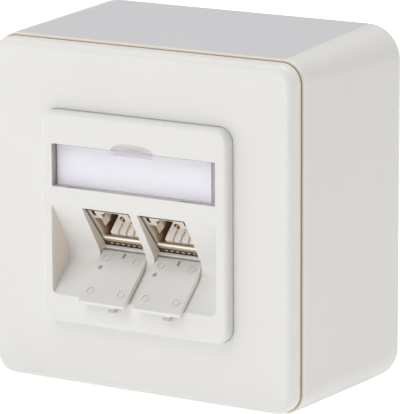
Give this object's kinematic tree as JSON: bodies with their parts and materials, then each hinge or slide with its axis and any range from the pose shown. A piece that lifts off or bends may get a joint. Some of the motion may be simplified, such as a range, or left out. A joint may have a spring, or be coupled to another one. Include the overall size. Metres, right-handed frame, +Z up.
{
  "type": "surface mount jack box",
  "caption": "Square white surface wall box with a stepped front, a clear label window and shielded data jacks in a slanted recess behind hinged dust covers.",
  "frame": {"origin": "centre of the wall face, on the axis of the round cable entry", "axes": "+X right seen from the front, +Y into the wall, +Z up; the front faces -Y"},
  "size_m": [0.0844, 0.0517, 0.0844],
  "materials": {
    "hood_plastic": "satin moulded, pure white tinted slightly warm",
    "frame_plastic": "semi-gloss moulded white",
    "plate_plastic": "semi-gloss moulded white",
    "cover_plastic": "semi-gloss moulded white",
    "base_plastic": "matt moulded off-white",
    "carrier_plastic": "matt moulded off-white",
    "clear_window": "clear polished",
    "card": "plain white card",
    "plated_steel": "zinc plated",
    "nickel_shell": "nickel plated",
    "spring_steel": "nickel plated spring strip",
    "clamp_steel": "nickel plated",
    "brass_strip": "bright rolled",
    "gold_contacts": "gold plated",
    "board": "green solder mask",
    "insulator": "matt moulded white",
    "cap_plastic": "matt moulded dark grey"
  },
  "bodies": {
    "housing": {"hood": "hood_plastic", "wall_base": "base_plastic", "hood_screws": "plated_steel", "support_frame": "plated_steel", "support_frame_screws": "plated_steel", "cover_frame": "frame_plastic", "centre_plate": "plate_plastic", "centre_plate_screw": "plated_steel", "label_card": "card", "module_carrier": "carrier_plastic", "carrier_screws": "plated_steel", "earth_strip": "brass_strip", "jack_shell_left": "nickel_shell", "jack_shell_right": "nickel_shell", "wall_springs_left": "spring_steel", "wall_springs_right": "spring_steel", "contact_block_left": "insulator", "contact_block_right": "insulator", "contacts_left": "gold_contacts", "contacts_right": "gold_contacts", "circuit_board_left": "board", "circuit_board_right": "board", "wire_block_left": "insulator", "wire_block_right": "insulator", "wire_cap_left": "cap_plastic", "wire_cap_right": "cap_plastic", "cable_clamp_left": "clamp_steel", "cable_clamp_right": "clamp_steel"},
    "dust_cover_left": {"dust_cover_left": "cover_plastic"},
    "dust_cover_right": {"dust_cover_right": "cover_plastic"},
    "label_window": {"label_window": "clear_window"}
  },
  "joints": [
    {"name": "dust_cover_left_hinge", "type": "hinge", "parent": "housing", "child": "dust_cover_left", "pos_m": [-0.00735, -0.04031, -0.00929], "axis": [-1, 0, 0], "range_deg": [0, 96]},
    {"name": "dust_cover_right_hinge", "type": "hinge", "parent": "housing", "child": "dust_cover_right", "pos_m": [0.00735, -0.04031, -0.00929], "axis": [-1, 0, 0], "range_deg": [0, 96]},
    {"name": "label_window_hinge", "type": "hinge", "parent": "housing", "child": "label_window", "pos_m": [0, -0.04915, 0.0073], "axis": [1, 0, 0], "range_deg": [0, 60]}
  ]
}
